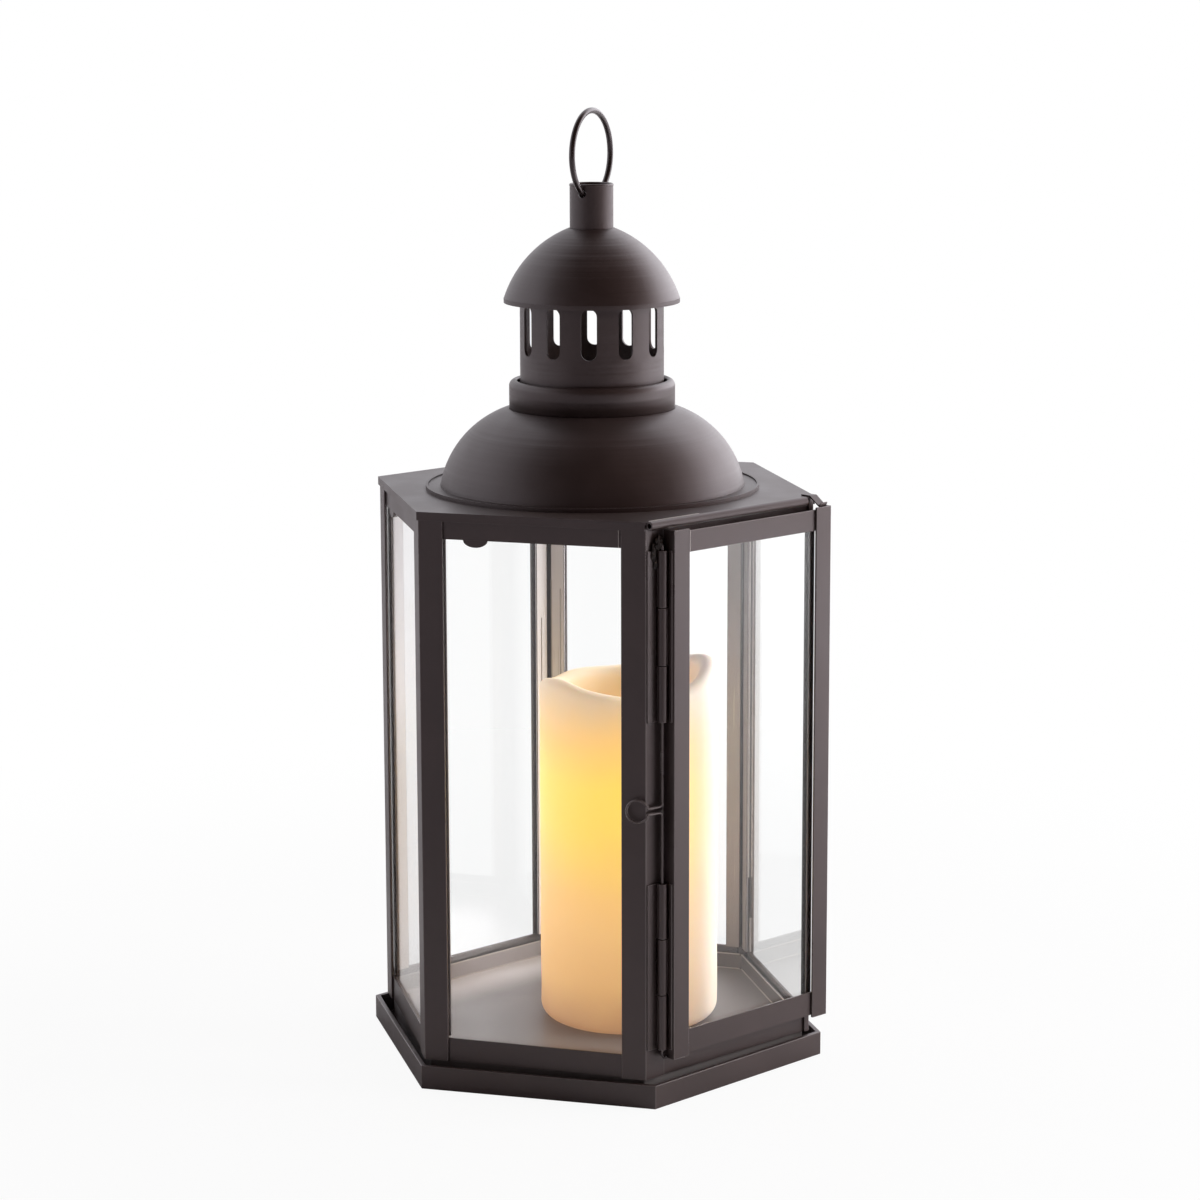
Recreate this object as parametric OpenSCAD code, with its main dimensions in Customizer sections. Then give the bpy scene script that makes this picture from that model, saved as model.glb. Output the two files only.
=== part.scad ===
// Hexagonal hurricane lantern with a glazed door, a slotted chimney, a hanging ring
// and a flameless candle. Z is up, the door faces -Y, and the origin is the centre
// of the underside of the base. All sizes are in millimetres.

/* [Sheet and glass] */
// Thickness of the sheet metal
sheet_t = 1; // [0.8:0.1:1.4]
// Thickness of the spun roof parts
spun_t = 0.9; // [0.7:0.1:1.2]
// Thickness of the glass panes
glass_t = 2; // [1.5:0.25:3]
// Play of a pane in its channel
glass_play = 0.3; // [0.2:0.1:0.6]

/* [Base] */
// Centre to corner of the base tray
base_r = 100.6; // [99:0.2:108]
// Height of the base tray
base_h = 10; // [7:0.5:16]
// Height of the hem along the rim of the tray
hem_h = 2; // [1.5:0.25:3]
// Turn of the tray against the body, in degrees
base_turn = 1.7; // [0:0.1:3]
// How far the floor pan stands back from the body at its corners
plinth_inset = 3; // [2:0.5:5]
// Height of the floor above the rim of the tray
floor_rise = 1; // [0.5:0.5:4]

/* [Cage] */
// Centre to the outer corner of a post
body_r = 96; // [88:0.5:97]
// Height of the posts
cage_h = 230.2; // [200:0.1:260]
// Width of a post on each face
stile_w = 10.4; // [8:0.2:12]
// Width of the post beside the free side of the door
slim_w = 2.6; // [2:0.2:4]
// Height of the lower rails
sill_h = 10; // [8:0.5:14]
// Height of the upper rails
head_h = 10; // [8:0.5:14]
// From a corner to the web of the glass channel in the post
web_at = 4; // [3.5:0.25:5]
// Radius of the half-round tab that keeps a pane in place
tab_r = 5; // [4:0.5:6]
// Distance of that tab from the middle of its face
tab_at = 24; // [10:1:28]

/* [Top plate] */
// Depth of the folded edge of the top plate
skirt_h = 3.5; // [2.5:0.25:5]
// Thickness of the folded edge
skirt_t = 0.6; // [0.5:0.1:1]
// Diameter of the rolled edge above the door
roll_d = 3.8; // [3:0.1:4.4]
// How far the rolled edge stands up above the plate
roll_rise = 0.6; // [0:0.1:1]
// Length of the rolled edge above the door
roll_len = 89; // [70:0.5:90]
// Play between the folded edge and the posts
skirt_play = 0.1; // [0.05:0.05:0.3]

/* [Hood] */
// Radius of the hood at its foot
hood_r = 64.2; // [60:0.2:66]
// Radius of the flange round the foot
flange_r = 70.4; // [69:0.1:74]
// Height of the raised edge of the flange
flange_lip = 1.6; // [1.4:0.1:3]
// Radius of the hood at the collar
hood_top_r = 35.4; // [35:0.1:37]
// Height of the hood
hood_h = 33.6; // [28:0.2:38]
// Radius of the arc of the hood's side
hood_arc_r = 41.6; // [40:0.2:48]

/* [Chimney] */
// Outer radius of the chimney tube
chimney_r = 30.2; // [28:0.2:31]
// Outer radius of the collar
collar_r = 34.9; // [33:0.1:35]
// Height of the collar
collar_h = 12; // [9:0.2:16]
// Radius of the rolled edge of the collar
collar_roll = 1; // [0.8:0.1:1.2]
// Number of slots round the chimney
slot_n = 12; // [8:1:14]
// Width of a slot
slot_w = 5.3; // [4.5:0.1:6]
// Length of a slot
slot_l = 24; // [18:0.5:25]
// Height of the lower end of the slots above the hood
slot_z = 23; // [18:0.5:24]
// Height of the cap's rim above the hood
cap_rise = 44.4; // [42:0.2:50]

/* [Cap and neck] */
// Radius of the cap
cap_r = 36.9; // [35.5:0.1:39]
// Height of the cap above its rim
cap_h = 30.8; // [26:0.2:34]
// Radius of the arc of the cap
cap_arc_r = 47; // [45:0.2:52]
// Height of the straight lip at the rim
cap_lip = 1.6; // [1.2:0.1:2.5]
// Outer radius of the neck
neck_r = 9.1; // [8.5:0.1:10]
// Height of the neck
neck_h = 18.4; // [17:0.2:22]
// Wall of the neck
neck_wall = 1; // [0.9:0.1:1.2]

/* [Hanging ring] */
// Radius of the ring, to the middle of its wire
ring_r = 17.9; // [16:0.1:22]
// Diameter of the ring's wire
ring_wire = 2.5; // [1.8:0.1:2.6]
// Diameter of the two holes in the neck
ring_hole_d = 3.9; // [3.8:0.1:4.2]
// Depth of those holes below the top of the neck
ring_hole_z = 3.5; // [3.2:0.1:5]
// Turn of the ring's plane from the X axis, in degrees
ring_turn = 21; // [0:1:45]

/* [Door] */
// Width of the door
door_w = 90.2; // [88:0.2:91]
// Height of the lower end of the door above the lower edge of the body
door_rise = 8.4; // [4:0.2:9]
// Play between the top of the door and the rolled edge
door_head_play = 0.4; // [0.4:0.1:1.5]
// Depth of the door
door_d = 6.5; // [6:0.1:10]
// Play between the door and the posts
door_gap = 0.4; // [0.3:0.1:0.8]
// Width of the door's stiles
door_stile_w = 8.6; // [8:0.2:11]
// Height of the door's lower rail
door_sill_h = 10; // [8:0.2:12]
// Height of the door's upper rail
door_head_h = 8.8; // [8:0.2:11]
// How much longer than the frame's opening the rails let the stiles stand
stile_horn = 1; // [0.6:0.1:2]
// How far the door's pane reaches behind its rails
pane_lap = 4; // [3:0.25:4.5]
// Width of a pane clip
clip_w = 8; // [6:0.5:12]

/* [Hinges] */
// Distance of the hinge line from the corner of the body, along the door's face
hinge_at = 6.9; // [5.5:0.1:8]
// Outer radius of the hinge barrels
barrel_r = 2; // [1.8:0.1:2.2]
// Radius of the pin wire
pin_r = 0.6; // [0.5:0.05:0.8]
// Play of the pin in the barrels, on the radius
pin_play = 0.06; // [0.03:0.01:0.1]
// Thickness of the hinge leaves
leaf_t = 0.6; // [0.5:0.05:0.8]
// Clearance of the barrels from the sheets beside them
barrel_lift = 0.35; // [0.3:0.05:0.5]
// Length of a hinge
hinge_l = 70; // [50:1:74]
// Height of the middle of the lower hinge above the lower edge of the body
hinge_low = 47.5; // [44:0.5:60]
// Distance of the middle of the upper hinge below the upper edge of the body
hinge_drop = 45.7; // [45:0.1:65]
// Height of the finger loop above the lower edge of the body
loop_z = 113.5; // [100:0.5:125]
// Radius of the finger loop, to the middle of its wire
loop_r = 4.6; // [3.5:0.1:6]
// From the hinge line to the bend of the loop round the corner
loop_bend_at = 7.9; // [6.8:0.1:9]
// From that bend to the middle of the loop
loop_reach = 3.8; // [3:0.1:10]

/* [Door catch] */
// Width of the catch strip
catch_w = 3; // [2.5:0.25:6]
// Depth of the bent end of the catch strip
catch_drop = 1.2; // [1:0.1:2]
// Distance of the catch strip from the door's free edge
catch_at = 3; // [2:0.5:6]

/* [Candle] */
// Radius of the candle
candle_r = 38.1; // [30:0.1:38.5]
// Mean height of the candle's rim
candle_h = 149.6; // [120:0.2:165]
// Rise and fall of the melted rim
candle_wave = 4; // [2:0.5:6]
// Thickness of the wax at the rim
wax_t = 6; // [4:0.5:8]
// Depth of the hollow in the candle
hollow_d = 56; // [40:1:70]
// Radius of the rounded lower edge of the candle
foot_round = 6; // [3:0.5:8]
// Place of the candle on the floor, to the right of the middle
candle_x = 10.6; // [-20:0.2:14]
// Place of the candle on the floor, in front of the middle
candle_y = 10.8; // [-20:0.2:14]
// Radius of the light unit in the candle's foot
unit_r = 26; // [20:0.5:28]
// Height of the light unit
unit_h = 22; // [18:0.5:30]

/* [Hidden] */
$fn = 72;
eps = 0.01;

// Colours of the finishes
bronze = [0.30, 0.27, 0.27];
glass = [0.85, 0.92, 0.95, 0.35];
wax = [0.98, 0.87, 0.66];
plastic = [0.92, 0.90, 0.86];

// Heights of the main levels
body_z = base_h + floor_rise;
cage_top = body_z + cage_h;
plate_top = cage_top + sheet_t;
hood_top = plate_top + hood_h;
cap_z = hood_top + cap_rise;
neck_z = cap_z + cap_h;
neck_top = neck_z + neck_h;
ring_hole_at = neck_top - ring_hole_z;

// The hexagon: the faces look along -90 (the door), -30, 30, 90, 150 and 210 degrees
body_ap = body_r * cos(30);
body_side = body_r;
ring_ap = body_ap - sheet_t;
pane_ap = ring_ap - sheet_t;
lip_n = 2 * sheet_t + glass_t + glass_play;

function face_angle(k) = -90 + 60 * k;
function post_angle(k) = -120 + 60 * k;

// The door stands between these planes
hinge_x = -body_side / 2 + hinge_at;
hinge_y = -body_ap - barrel_r - barrel_lift;
door_x0 = hinge_x + barrel_r + barrel_lift;
door_x1 = door_x0 + door_w;
door_back = -body_ap - door_gap;
door_front = door_back - door_d;
door_z0 = body_z + door_rise;
roll_r = roll_d / 2;
roll_z = plate_top + roll_rise - roll_r;
door_z1 = roll_z - roll_r - door_head_play;
hinge_high = cage_h - hinge_drop;
rail_front = door_front + sheet_t;
rail_back = rail_front + sheet_t;
rail_x0 = door_x0 + sheet_t;
rail_x1 = door_x1 - sheet_t;
sill_top = door_z0 + stile_horn + door_sill_h;
head_foot = door_z1 - stile_horn - door_head_h;
pane_z0 = sill_top - pane_lap;
pane_z1 = head_foot + pane_lap;
bore_r = pin_r + pin_play;

module hex_prism(ap, h) {
    cylinder(r = ap / cos(30), h = h, $fn = 6);
}

module hex_tube(ap_out, ap_in, h) {
    difference() {
        hex_prism(ap_out, h);
        translate([0, 0, -1]) hex_prism(ap_in, h + 2);
    }
}

// A box between two corners
module block(a, b) {
    translate(a) cube(b - a);
}

// ---------- base ----------

module base_tray() {
    ap = base_r * cos(30);
    color(bronze) rotate([0, 0, base_turn]) {
        difference() {
            hex_prism(ap, base_h);
            translate([0, 0, sheet_t]) hex_prism(ap - sheet_t, base_h);
        }
        translate([0, 0, base_h - hem_h]) hex_tube(ap - sheet_t / 2, ap - 2 * sheet_t, hem_h);
    }
}

module floor_pan() {
    ap = (body_r - plinth_inset) * cos(30);
    color(bronze) translate([0, 0, sheet_t]) difference() {
        hex_prism(ap, body_z - sheet_t);
        translate([0, 0, -1]) hex_prism(ap - sheet_t, body_z - 2 * sheet_t + 1);
    }
}

// ---------- cage ----------

// A U-shaped rail round all six faces that holds the edges of the panes
module channel_ring(h, lip_h) {
    inner_ap = body_ap - lip_n;
    hex_tube(ring_ap, pane_ap, h);
    hex_tube(ring_ap - sheet_t / 2, inner_ap - sheet_t / 2, sheet_t);
    hex_tube(inner_ap, inner_ap - sheet_t, lip_h);
}

module sill_ring() {
    color(bronze) translate([0, 0, body_z]) channel_ring(sill_h, sill_h - 3);
}

module head_ring() {
    color(bronze) translate([0, 0, cage_top]) mirror([0, 0, 1]) channel_ring(head_h, head_h - 2);
}

// A point of a post's section: s along the face from the corner, n inwards from the face
function post_point(s, n, side) =
    [body_r - s * sin(30) - n * cos(30), side * (s * cos(30) - n * sin(30))];

// The bent angle that shows on the two faces, w wide on each
function angle_half(w, side) = [post_point(w, 0, side), post_point(w, sheet_t, side)];
module post_angle_section(w) {
    polygon(concat(
        [post_point(0, 0, 1)], angle_half(w, 1),
        [post_point(sheet_t * tan(30), sheet_t, 1)],
        [for (i = [1, 0]) angle_half(w, -1)[i]]
    ));
}

// The glass channel behind one side of that angle
module post_channel_section(side) {
    polygon([
        post_point(web_at, sheet_t / 2, side),
        post_point(web_at + sheet_t, sheet_t / 2, side),
        post_point(web_at + sheet_t, lip_n, side),
        post_point(stile_w, lip_n, side),
        post_point(stile_w, lip_n + sheet_t, side),
        post_point(web_at, lip_n + sheet_t, side)
    ]);
}

// The two posts beside the door have no channel on the door's face, and the one at the
// door's free side is a slim angle that its pane stands behind
function post_sides(k) = k == 1 ? [] : k == 6 ? [-1] : [-1, 1];
module post(k) {
    color(bronze) rotate([0, 0, post_angle(k)]) translate([0, 0, body_z]) {
        linear_extrude(cage_h) post_angle_section(k == 1 ? slim_w : stile_w);
        for (side = post_sides(k))
            translate([0, 0, sill_h]) linear_extrude(cage_h - sill_h - head_h) post_channel_section(side);
    }
}

module pane(k) {
    half_w = body_side / 2 - web_at - sheet_t - glass_play;
    free_w = body_side / 2 - slim_w / 2;
    color(glass) rotate([0, 0, face_angle(k)])
        block([pane_ap - glass_t, k == 1 ? -free_w : -half_w, body_z + sheet_t],
              [pane_ap, half_w, cage_top - sheet_t - glass_play]);
}

// A half-round tab under the upper rail, in front of the pane
module pane_tab(k) {
    color(bronze) rotate([0, 0, face_angle(k)])
        translate([pane_ap, -tab_at, cage_top - head_h])
        rotate([90, 0, 90]) linear_extrude(sheet_t) intersection() {
            circle(r = tab_r);
            translate([-tab_r, -tab_r / 2]) square([2 * tab_r, tab_r / 2]);
        }
}

// ---------- roof ----------

module top_plate() {
    skirt_ap = body_ap + skirt_play;
    ap = skirt_ap + skirt_t;
    roll_y = -skirt_ap - roll_r;
    roll_x = -body_side / 2;
    color(bronze) difference() {
        union() {
            difference() {
                translate([0, 0, plate_top - skirt_h]) hex_prism(ap, skirt_h);
                translate([0, 0, plate_top - skirt_h - 1]) hex_prism(skirt_ap, skirt_h + 1 - sheet_t);
                block([-base_r, -base_r, plate_top - skirt_h - 1], [base_r, -skirt_ap, cage_top]);
            }
            block([roll_x, roll_y, cage_top], [roll_x + roll_len, -skirt_ap + 1, plate_top]);
            translate([roll_x, roll_y, roll_z]) rotate([0, 90, 0]) cylinder(r = roll_r, h = roll_len);
        }
        translate([0, 0, cage_top - 1]) cylinder(r = hood_r - 6, h = sheet_t + 2);
        translate([roll_x - 1, roll_y, roll_z]) rotate([0, 90, 0])
            cylinder(r = roll_r - sheet_t * 0.8, h = roll_len + 2);
    }
}

// The centre of an arc of radius r through p and q that bulges outwards and up
function arc_centre(p, q, r) =
    let (m = (p + q) / 2, d = q - p, l = norm(d), h = sqrt(r * r - l * l / 4))
    m + h * [-d[1], d[0]] / l;

// A spun shell between two radii, its outer side the arc round c
module spun_arc(c, r, r_in, r_out, z_low, z_high) {
    intersection() {
        translate(c) difference() {
            circle(r = r, $fn = 180);
            circle(r = r - spun_t, $fn = 180);
        }
        translate([r_in, z_low]) square([r_out - r_in, z_high - z_low]);
    }
}

module hood() {
    foot = [hood_r, sheet_t];
    top = [hood_top_r, hood_h];
    c = arc_centre(foot, top, hood_arc_r);
    color(bronze) translate([0, 0, plate_top]) rotate_extrude($fn = 120) {
        spun_arc(c, hood_arc_r, hood_top_r - 2, hood_r + 2, 0.5, hood_h);
        translate([hood_r - 2.5, 0]) square([flange_r - hood_r + 2.5, sheet_t]);
        translate([flange_r - sheet_t, 0]) square([sheet_t, flange_lip]);
        translate([chimney_r - 3, hood_h - sheet_t]) square([hood_top_r - chimney_r + 3, sheet_t]);
    }
}

module collar() {
    color(bronze) translate([0, 0, hood_top]) rotate_extrude($fn = 96) {
        translate([collar_r - sheet_t, 0]) square([sheet_t, collar_h - collar_roll]);
        translate([collar_r - collar_roll, collar_h - collar_roll]) circle(r = collar_roll, $fn = 32);
    }
}

// The inner surface of the cap at a radius, above the cap's rim
cap_foot = [cap_r, cap_lip];
cap_head = [neck_r + 0.6, cap_h];
cap_c = arc_centre(cap_foot, cap_head, cap_arc_r);
function cap_inside(r) = cap_c[1] + sqrt(pow(cap_arc_r - spun_t, 2) - pow(r - cap_c[0], 2));

module slot_2d() {
    d = slot_l - slot_w;
    for (y = [0, d]) translate([0, y]) circle(d = slot_w, $fn = 32);
    translate([-slot_w / 2, 0]) square([slot_w, d]);
}

module chimney() {
    h = cap_rise + cap_inside(chimney_r) - 0.05;
    color(bronze) translate([0, 0, hood_top]) difference() {
        cylinder(r = chimney_r, h = h, $fn = 96);
        translate([0, 0, -1]) cylinder(r = chimney_r - sheet_t, h = h + 2, $fn = 96);
        for (k = [0:slot_n - 1]) rotate([0, 0, 15 + 360 / slot_n * k])
            translate([chimney_r - 4, 0, slot_z + slot_w / 2]) rotate([90, 0, 90]) linear_extrude(8) slot_2d();
    }
}

module cap() {
    land_r = neck_r - neck_wall - 1;
    root = 0.1;
    color(bronze) translate([0, 0, cap_z]) rotate_extrude($fn = 120) {
        spun_arc(cap_c, cap_arc_r, neck_r + 0.2, cap_r - root, cap_lip - 5 * root, cap_h - root / 5);
        translate([cap_r - spun_t, 0]) square([spun_t, cap_lip + 2 * root]);
        translate([land_r, cap_h - spun_t - root]) square([neck_r + 0.7 - land_r, spun_t + root]);
    }
}

module neck() {
    bore = neck_r - neck_wall;
    color(bronze) difference() {
        translate([0, 0, neck_z]) rotate_extrude($fn = 72) {
            translate([bore, 0]) square([neck_wall, neck_h - neck_wall / 2]);
            translate([neck_r - neck_wall / 2, neck_h - neck_wall / 2]) circle(r = neck_wall / 2 + 0.15, $fn = 24);
        }
        translate([0, 0, ring_hole_at]) rotate([0, 0, ring_turn]) rotate([0, 90, 0])
            cylinder(d = ring_hole_d, h = 4 * neck_r, center = true, $fn = 32);
    }
}

// The ring hangs in the two holes: its centre is this far above them
ring_lift = sqrt(pow(ring_r, 2) - pow(neck_r - neck_wall / 2, 2));

module ring() {
    color(bronze) translate([0, 0, ring_hole_at + ring_lift]) rotate([0, 0, ring_turn]) rotate([90, 0, 0])
        rotate_extrude($fn = 96) translate([ring_r, 0]) circle(d = ring_wire, $fn = 32);
}

// ---------- door ----------

module door_stile(x_edge, dir) {
    x_in = x_edge + dir * door_stile_w;
    x_ret = x_edge + dir * sheet_t;
    color(bronze) {
        block([min(x_edge, x_in), door_front, door_z0], [max(x_edge, x_in), rail_front, door_z1]);
        block([min(x_edge, x_ret), door_front, door_z0], [max(x_edge, x_ret), door_back, door_z1]);
    }
}

module door_rail(z0, z1) {
    color(bronze) block([rail_x0, rail_front, z0], [rail_x1, rail_back, z1]);
}

module door_pane() {
    color(glass) block([rail_x0 + glass_play, rail_back, pane_z0],
                       [rail_x1 - glass_play, rail_back + glass_t, pane_z1]);
}

// A clip soldered to the back of a rail, bent over the edge of the pane
module door_clip(x, z_edge, dir) {
    clip_t = sheet_t * 0.8;
    lap = pane_lap - 1;
    foot = pane_lap - 0.5;
    color(bronze) translate([x - clip_w / 2, rail_back, z_edge]) rotate([90, 0, 90]) linear_extrude(clip_w)
        polygon([
            [0, 0], [0, dir * foot], [clip_t, dir * foot], [clip_t, dir * clip_t],
            [glass_t + clip_t, dir * clip_t], [glass_t + clip_t, -dir * lap],
            [glass_t, -dir * lap], [glass_t, 0]
        ]);
}
clip_x = [rail_x0 + 20, rail_x1 - 20];

module door_catch() {
    x1 = door_x1 - catch_at;
    y0 = -body_ap + 4;
    y1 = door_front + 0.5;
    t = sheet_t * 0.6;
    color(bronze) {
        block([x1 - catch_w, y1, plate_top], [x1, y0, plate_top + t]);
        block([x1 - catch_w, y1, plate_top - catch_drop], [x1, y1 + t, plate_top + t]);
    }
}

// ---------- hinges ----------

// A leaf with its knuckles, in the hinge's own frame: the pin stands at the origin, the
// leaf lies along -X, and its outer side is barrel_r + barrel_lift in front of the pin.
// Each span [z0, z1] is a knuckle.
module leaf(width, spans) {
    y_out = barrel_r + barrel_lift;
    difference() {
        union() {
            block([-width, y_out - leaf_t, 0], [-barrel_r + 0.1, y_out, hinge_l]);
            for (s = spans) {
                block([-barrel_r, y_out - leaf_t, s[0]], [0, y_out, s[1]]);
                translate([0, 0, s[0]]) cylinder(r = barrel_r, h = s[1] - s[0], $fn = 48);
            }
        }
        translate([0, 0, -1]) cylinder(r = bore_r, h = hinge_l + 2, $fn = 32);
    }
}

knuckle_gap = 0.3;
knuckle_l = hinge_l / 3;
outer_spans = [[0, knuckle_l - knuckle_gap], [2 * knuckle_l + knuckle_gap, hinge_l]];
middle_span = [[knuckle_l, 2 * knuckle_l]];

module post_leaf(z_mid) {
    color(bronze) translate([hinge_x, hinge_y, body_z + z_mid - hinge_l / 2])
        leaf(hinge_at - 0.6, outer_spans);
}

module door_leaf(z_mid) {
    color(bronze) translate([hinge_x, hinge_y, body_z + z_mid - hinge_l / 2])
        mirror([1, -1, 0]) leaf(door_d + door_gap - barrel_r - barrel_lift - 0.8, middle_span);
}

// The finger loop follows the wall round the corner: s is the way along it, h the height
bend_in = 175;
bend_out = 122;
function plan_dir(s) = s < loop_bend_at - 1 ? bend_in
    : s > loop_bend_at + 1 ? bend_out
    : bend_in + (bend_out - bend_in) * (s - loop_bend_at + 1) / 2;
plan_step = 0.25;
function plan_sum(s) = s <= 0 ? [0, 0]
    : let (d = plan_dir(s - plan_step / 2)) plan_sum(s - plan_step) + plan_step * [cos(d), sin(d)];
function plan_point(s) =
    let (a = floor(s / plan_step) * plan_step, f = (s - a) / plan_step)
    (1 - f) * plan_sum(a) + f * plan_sum(a + plan_step);

neck_half = 1.25;
neck_fillet = 1.6;
loop_mid = loop_bend_at + loop_reach;
loop_open = asin(neck_half / loop_r);
fillet_n = 4;
loop_n = 24;
function lower_half() = concat(
    [[0, -neck_half - neck_fillet - 2]],
    [for (i = [0:fillet_n]) let (a = 90 * i / fillet_n)
        [neck_fillet * (1 - cos(a)), -neck_half - neck_fillet * (1 - sin(a))]],
    [for (s = [3:1:floor(loop_mid - loop_r * cos(loop_open)) - 1]) [s, -neck_half]]
);
loop_path = concat(
    lower_half(),
    [for (i = [0:loop_n]) let (a = -180 + loop_open + (360 - 2 * loop_open) * i / loop_n)
        [loop_mid + loop_r * cos(a), loop_r * sin(a)]],
    [for (i = [len(lower_half()) - 1:-1:0]) [lower_half()[i][0], -lower_half()[i][1]]]
);

tube_sides = 8;
function at_path(i) = let (p = loop_path[i], q = plan_point(p[0])) [q[0], q[1], p[1]];
function unit(v) = v / norm(v);
module loop_wire(r) {
    n = len(loop_path);
    pts = [for (i = [0:n - 1])
        let (a = at_path(max(i - 1, 0)), b = at_path(min(i + 1, n - 1)),
             t = unit(b - a), d = plan_dir(loop_path[i][0]), side = [-sin(d), cos(d), 0],
             up = unit(cross(side, t)), bi = cross(t, up))
        for (j = [0:tube_sides - 1]) let (w = 360 * (j + 0.5) / tube_sides)
            at_path(i) + r * (cos(w) * up + sin(w) * bi)];
    polyhedron(
        points = pts,
        faces = concat(
            [[for (j = [0:tube_sides - 1]) j]],
            [for (i = [0:n - 2]) for (j = [0:tube_sides - 1]) let (k = (j + 1) % tube_sides)
                [i * tube_sides + j, (i + 1) * tube_sides + j, (i + 1) * tube_sides + k, i * tube_sides + k]],
            [[for (j = [tube_sides - 1:-1:0]) (n - 1) * tube_sides + j]]
        ),
        convexity = 6
    );
}

module hinge_pin() {
    z_loop = body_z + loop_z;
    z_foot = body_z + hinge_low - hinge_l / 2 - 2;
    z_head = body_z + hinge_high + hinge_l / 2 + 2;
    gap = neck_half + neck_fillet + 0.4;
    color(bronze) translate([hinge_x, hinge_y, 0]) {
        translate([0, 0, z_foot]) cylinder(r = pin_r, h = z_loop - gap - z_foot, $fn = 32);
        translate([0, 0, z_loop + gap]) cylinder(r = pin_r, h = z_head - z_loop - gap, $fn = 32);
        translate([0, 0, z_loop]) loop_wire(pin_r * 0.97);
    }
}

// ---------- candle ----------

candle_z = body_z + 0.2;
hollow_z = candle_h - hollow_d;
wax_n = 60;
function rim_z(a) = candle_h + candle_wave * (0.34 * cos(a + 75) + 0.86 * cos(2 * a + 51) + 0.18 * cos(3 * a + 26));
// Rings of the wax shell from the middle of the foot, up the side, over the rim and into the hollow
function wax_ring(i, a) =
    let (rim = rim_z(a), ri = candle_r - wax_t, bowl = ri * 0.72)
    i == 0 ? [unit_r + 3, 0]
    : i < 6 ? let (b = 90 * (i - 1) / 4) [candle_r - foot_round * (1 - sin(b)), foot_round * (1 - cos(b))]
    : i == 6 ? [candle_r, candle_h * 0.5]
    : i < 11 ? let (b = 180 * (i - 7) / 3, m = candle_r - wax_t / 2)
        [m + wax_t / 2 * cos(b), rim - wax_t / 2 + wax_t / 2 * sin(b)]
    : i == 11 ? [(ri + bowl) / 2 + 2, hollow_z + hollow_d * 0.4]
    : i == 12 ? [bowl + 1.5, hollow_z + 4]
    : [bowl - 3, hollow_z];
wax_rings = 14;

module wax_body() {
    pts = concat(
        [[0, 0, 0]],
        [for (i = [0:wax_rings - 1]) for (j = [0:wax_n - 1])
            let (a = 360 * j / wax_n, p = wax_ring(i, a)) [p[0] * cos(a), p[0] * sin(a), p[1]]],
        [[0, 0, hollow_z]]
    );
    last = 1 + wax_rings * wax_n;
    function at(i, j) = 1 + i * wax_n + j % wax_n;
    polyhedron(
        points = pts,
        faces = concat(
            [for (j = [0:wax_n - 1]) [0, at(0, j), at(0, j + 1)]],
            [for (i = [0:wax_rings - 2]) for (j = [0:wax_n - 1])
                each [[at(i, j), at(i + 1, j), at(i + 1, j + 1)], [at(i, j), at(i + 1, j + 1), at(i, j + 1)]]],
            [for (j = [0:wax_n - 1]) [last, at(wax_rings - 1, j + 1), at(wax_rings - 1, j)]]
        ),
        convexity = 6
    );
}

module at_candle() {
    translate([candle_x, -candle_y, candle_z]) children();
}

module candle_wax() {
    color(wax) at_candle() difference() {
        wax_body();
        translate([0, 0, -1]) cylinder(r = unit_r + 0.1, h = unit_h + 1);
    }
}

lid_l = 32;
lid_w = 22;
lid_t = 1.6;
lid_y = -6;
switch_travel = 3;
switch_l = 5;
switch_w = 4;
well_d = 3;
switch_y = 15;

module candle_unit() {
    color(plastic) at_candle() difference() {
        cylinder(r = unit_r, h = unit_h);
        translate([0, 0, -1]) cylinder(r = unit_r - 2, h = 2);
        translate([-lid_l / 2, lid_y - lid_w / 2, 0]) cube([lid_l, lid_w, 1 + lid_t]);
        translate([-(switch_l + switch_travel) / 2 - 0.4, switch_y - switch_w / 2 - 0.4, 0])
            cube([switch_l + switch_travel + 0.8, switch_w + 0.8, 1 + well_d]);
    }
}

module candle_lid() {
    color(plastic) at_candle() translate([-lid_l / 2 + 0.15, lid_y - lid_w / 2 + 0.15, 1])
        cube([lid_l - 0.3, lid_w - 0.3, lid_t]);
}

module candle_switch() {
    color("dimgray") at_candle() {
        translate([-(switch_l + switch_travel) / 2, switch_y - switch_w / 2, 1.4])
            cube([switch_l, switch_w, well_d - 0.7]);
        translate([-(switch_l + switch_travel) / 2 + 1.5, switch_y - switch_w / 2 + 0.5, 0.5])
            cube([switch_l - 3, switch_w - 1, 1]);
    }
}

module candle_bulb() {
    color([1, 0.85, 0.45]) at_candle() translate([0, 0, hollow_z]) rotate_extrude($fn = 48) {
        square([5, 3]);
        difference() {
            translate([0, 3]) scale([1, 2.2]) circle(r = 3.2);
            translate([-20, -40]) square([20, 80]);
            translate([-20, -40]) square([40, 42]);
        }
    }
}

base_tray();
floor_pan();
sill_ring();
head_ring();
for (k = [1:6]) post(k);
for (k = [1:5]) pane(k);
for (k = [1:5]) pane_tab(k);
top_plate();
hood();
collar();
chimney();
cap();
neck();
door_catch();
hinge_pin();
post_leaf(hinge_low);  // post_leaf_low
post_leaf(hinge_high);  // post_leaf_high
ring();
door_stile(door_x0, 1);  // door_stile_left
door_stile(door_x1, -1);  // door_stile_right
door_rail(door_z0 + stile_horn, sill_top);  // door_sill
door_rail(head_foot, door_z1 - stile_horn);  // door_head
door_pane();
for (k = [1, 2]) door_clip(clip_x[k - 1], pane_z0, -1);
for (k = [3, 4]) door_clip(clip_x[k - 3], pane_z1, 1);
door_leaf(hinge_low);  // door_leaf_low
door_leaf(hinge_high);  // door_leaf_high
candle_wax();
candle_unit();
candle_lid();
candle_bulb();
candle_switch();
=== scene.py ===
import math

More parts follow.
